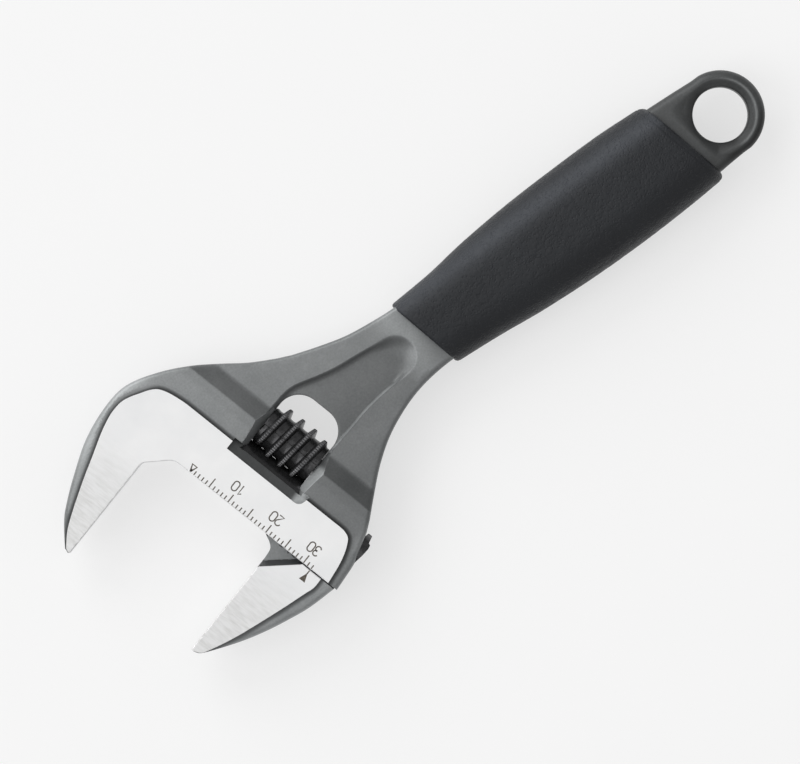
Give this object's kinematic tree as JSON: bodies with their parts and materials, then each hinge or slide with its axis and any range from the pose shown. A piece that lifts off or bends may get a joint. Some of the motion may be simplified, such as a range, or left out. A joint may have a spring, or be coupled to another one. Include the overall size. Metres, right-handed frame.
{
  "type": "adjustable wrench",
  "caption": "Adjustable wrench: a knurl drives a racked jaw along a slanted slide bar, with a moulded handle sleeve and a hang hole.",
  "frame": {"origin": "centre of the hang hole at mid-thickness", "axes": "+X along the handle from the hang hole towards the jaws, +Y towards the side that the moving jaw opens to, +Z along the hang hole's axis towards the face with the scale"},
  "size_m": [0.1716, 0.0598, 0.016],
  "materials": {
    "forged_steel": "phosphated forging, satin",
    "ground_steel": "ground bright",
    "oxide_steel": "black oxide, machined",
    "bright_steel": "turned or drawn, plain",
    "sleeve_polymer": "fine leather grain, satin"
  },
  "bodies": {
    "frame": {"body_forging": "forged_steel", "grip_sleeve": "sleeve_polymer", "knurl_pin": "bright_steel"},
    "knurl_body": {"knurl": "oxide_steel", "knurl_spring": "bright_steel"},
    "jaw": {"moving_jaw": "ground_steel"}
  },
  "joints": [
    {"name": "knurl_spin", "type": "hinge", "parent": "frame", "child": "knurl_body", "pos_m": [0.11246, 0.00066, 0], "axis": [-0.2588, 0.9659, 0], "range_deg": [-3600, 0]},
    {"name": "jaw_slide", "type": "slide", "parent": "frame", "child": "jaw", "axis": [-0.2588, 0.9659, 0], "range_m": [-0.032, 0]}
  ],
  "couplings": [
    {"joint": "knurl_spin", "follows": "jaw_slide", "rad_per_m": 1963.5}
  ]
}
